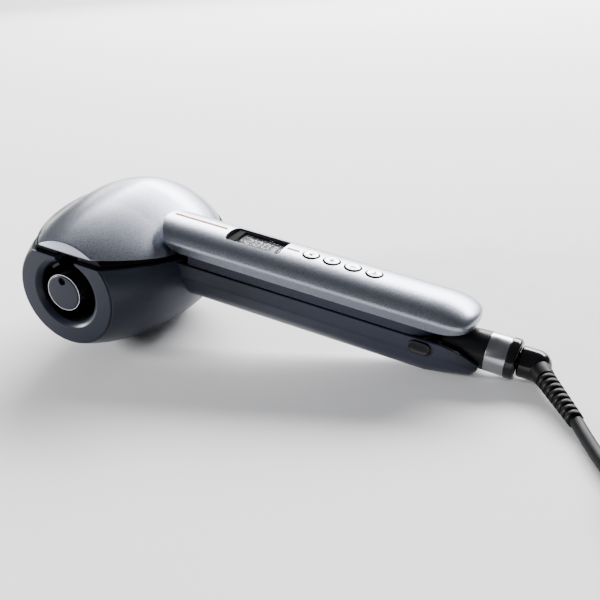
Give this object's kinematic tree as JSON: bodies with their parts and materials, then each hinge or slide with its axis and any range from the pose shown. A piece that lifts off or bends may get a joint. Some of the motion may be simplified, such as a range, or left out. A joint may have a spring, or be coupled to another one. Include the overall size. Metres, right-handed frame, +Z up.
{
  "type": "automatic_hair_curler",
  "caption": "Automatic hair curler: silver dome over a slate chamber with a heated barrel, hinged two-part handle with display and buttons, swivel cord, coiled lead and plug",
  "frame": {"origin": "floor point under the centre of the object without its lead, resting on its chamber and rear cap", "axes": "+X along the handle towards the cord, +Y to the head's blind side away from the mouth, +Z up"},
  "size_m": [0.4725, 0.1953, 0.0851],
  "materials": {
    "slate_cover": "satin slate grey-blue moulded plastic",
    "silver_cover": "fine metallic silver lacquer with a satin sheen",
    "face_plastic": "satin slate grey-blue",
    "black_plastic": "satin black",
    "gloss_black": "glossy black",
    "chamber_ceramic": "dark heat-resistant liner",
    "barrel_ceramic": "dark tourmaline-ceramic coating",
    "steel": "brushed steel, and plain plated steel inside",
    "plated_steel": "bright plated steel",
    "brass": "machined brass",
    "bearing": "bearing plastic",
    "gear_plastic": "white gear plastic",
    "board": "green board",
    "heater": "ceramic heater body",
    "copper": "copper-coloured inlay",
    "button_plastic": "pearl white-silver",
    "lcd": "grey display panel",
    "window": "clear window",
    "rubber": "satin black flexible moulding",
    "cable": "black flexible sheath",
    "wire": "insulated wires"
  },
  "bodies": {
    "lower_jaw": {"chamber_housing": "slate_cover", "face_ring": "face_plastic", "chamber_liner": "chamber_ceramic", "heat_barrel": "barrel_ceramic", "barrel_cap": "face_plastic", "heater_core": "heater", "thermal_fuse": "plated_steel", "rotor_bush": "bearing", "gearbox_frame": "plated_steel", "motor": "plated_steel", "gearbox_screws": "plated_steel", "idler_axle": "plated_steel", "lower_arm_shell": "slate_cover", "lower_arm_cover": "black_plastic", "power_board": "board", "micro_switch": "black_plastic", "supply_leads": "wire", "hinge_bracket": "plated_steel", "hinge_pin": "plated_steel", "hinge_caps": "black_plastic", "torsion_spring": "plated_steel", "rear_neck": "black_plastic", "steel_collar": "steel", "end_cap": "gloss_black"},
    "upper_jaw": {"head_cover": "silver_cover", "jaw_liner": "gloss_black", "upper_arm_shell": "silver_cover", "upper_arm_tray": "slate_cover", "hinge_knuckle": "black_plastic", "display_frame": "gloss_black", "lcd_module": "lcd", "display_window": "window", "button_frame": "black_plastic", "control_board": "board", "tact_switches": "plated_steel", "copper_trim": "copper", "tray_screws": "plated_steel"},
    "rotor": {"rotor_gear": "gear_plastic", "hair_hook": "black_plastic"},
    "idler": {"idler_gear": "gear_plastic"},
    "pinion": {"motor_pinion": "brass"},
    "button_1": {"button_1": "button_plastic"},
    "button_2": {"button_2": "button_plastic"},
    "button_3": {"button_3": "button_plastic"},
    "button_4": {"button_4": "button_plastic"},
    "cord_swivel": {"swivel_block": "gloss_black", "swivel_clip": "plated_steel", "strain_relief": "rubber", "cord_run": "cable", "cord_coil": "cable", "cord_tail": "cable", "cord_tie": "rubber", "plug_body": "rubber", "plug_pins": "brass"}
  },
  "joints": [
    {"name": "jaw_hinge", "type": "hinge", "parent": "lower_jaw", "child": "upper_jaw", "pos_m": [0.09112, -0.00685, 0.01836], "axis": [0, 1, 0], "range_deg": [0, 7.5]},
    {"name": "rotor_spin", "type": "hinge", "parent": "lower_jaw", "child": "rotor", "pos_m": [-0.10226, -0.01285, 0.04327], "axis": [0, 1, 0], "continuous": true},
    {"name": "idler_spin", "type": "hinge", "parent": "lower_jaw", "child": "idler", "pos_m": [-0.12444, -0.01285, 0.03335], "axis": [0, 1, 0], "continuous": true},
    {"name": "pinion_spin", "type": "hinge", "parent": "lower_jaw", "child": "pinion", "pos_m": [-0.12672, -0.01285, 0.04757], "axis": [0, 1, 0], "continuous": true},
    {"name": "button_1_press", "type": "slide", "parent": "upper_jaw", "child": "button_1", "axis": [-0.1891, 0, -0.982], "range_m": [0, 0.0006], "stiffness_N_per_m": 300},
    {"name": "button_2_press", "type": "slide", "parent": "upper_jaw", "child": "button_2", "axis": [-0.1891, 0, -0.982], "range_m": [0, 0.0006], "stiffness_N_per_m": 300},
    {"name": "button_3_press", "type": "slide", "parent": "upper_jaw", "child": "button_3", "axis": [-0.1891, 0, -0.982], "range_m": [0, 0.0006], "stiffness_N_per_m": 300},
    {"name": "button_4_press", "type": "slide", "parent": "upper_jaw", "child": "button_4", "axis": [-0.1891, 0, -0.982], "range_m": [0, 0.0006], "stiffness_N_per_m": 300},
    {"name": "cord_swivel_turn", "type": "hinge", "parent": "lower_jaw", "child": "cord_swivel", "pos_m": [0.13846, -0.00685, 0.01036], "axis": [0.982, 0, -0.1891], "continuous": true}
  ],
  "couplings": [
    {"joint": "idler_spin", "follows": "rotor_spin", "ratio": -1.7},
    {"joint": "pinion_spin", "follows": "rotor_spin", "ratio": 2.8333}
  ]
}
